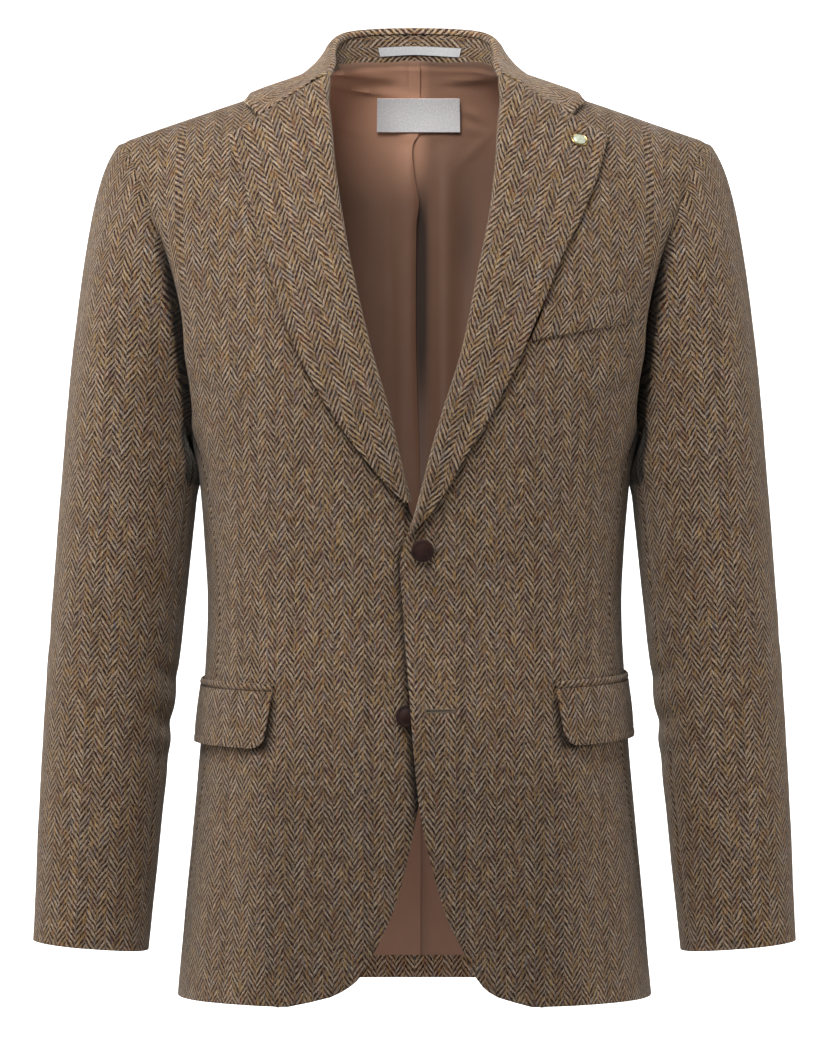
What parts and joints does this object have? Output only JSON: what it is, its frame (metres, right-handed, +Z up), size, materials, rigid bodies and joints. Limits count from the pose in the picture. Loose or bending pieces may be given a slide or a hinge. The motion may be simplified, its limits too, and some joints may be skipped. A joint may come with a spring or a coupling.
{
  "type": "hacking jacket",
  "caption": "Single-breasted tweed jacket in worn form, with notch lapels, flapped hip pockets, chest welt, side vents and two-piece sleeves, lined at the back.",
  "frame": {"origin": "midway between the neck points of the shoulder seams, where the wearer carries the jacket", "axes": "the front faces -Y, the wearer's left is +X, +Z runs up from hem to collar"},
  "size_m": [0.6132, 0.2742, 0.7895],
  "materials": {
    "tweed": "rough brown herringbone wool with mixed flecks",
    "lining": "smooth red-brown satin",
    "tape": "off-white woven tape",
    "button": "dark brown, domed, slightly polished",
    "pin": "polished rim round a pale green pearl face"
  },
  "bodies": {
    "root": {"front_left": "tweed", "front_right": "tweed", "side_left": "tweed", "side_right": "tweed", "back_left": "tweed", "back_right": "tweed", "top_sleeve_left": "tweed", "top_sleeve_right": "tweed", "under_sleeve_left": "tweed", "under_sleeve_right": "tweed", "lapel_left": "tweed", "lapel_right": "tweed", "collar_fall": "tweed", "collar_stand": "tweed", "pocket_flap_left": "tweed", "pocket_flap_right": "tweed", "pocket_jet_left": "tweed", "pocket_jet_right": "tweed", "chest_welt": "tweed", "back_lining_left": "lining", "back_lining_right": "lining", "hanger_tape": "tape", "neck_label": "tape", "button_top": "button", "button_bottom": "button", "lapel_pin": "pin"}
  },
  "joints": []
}
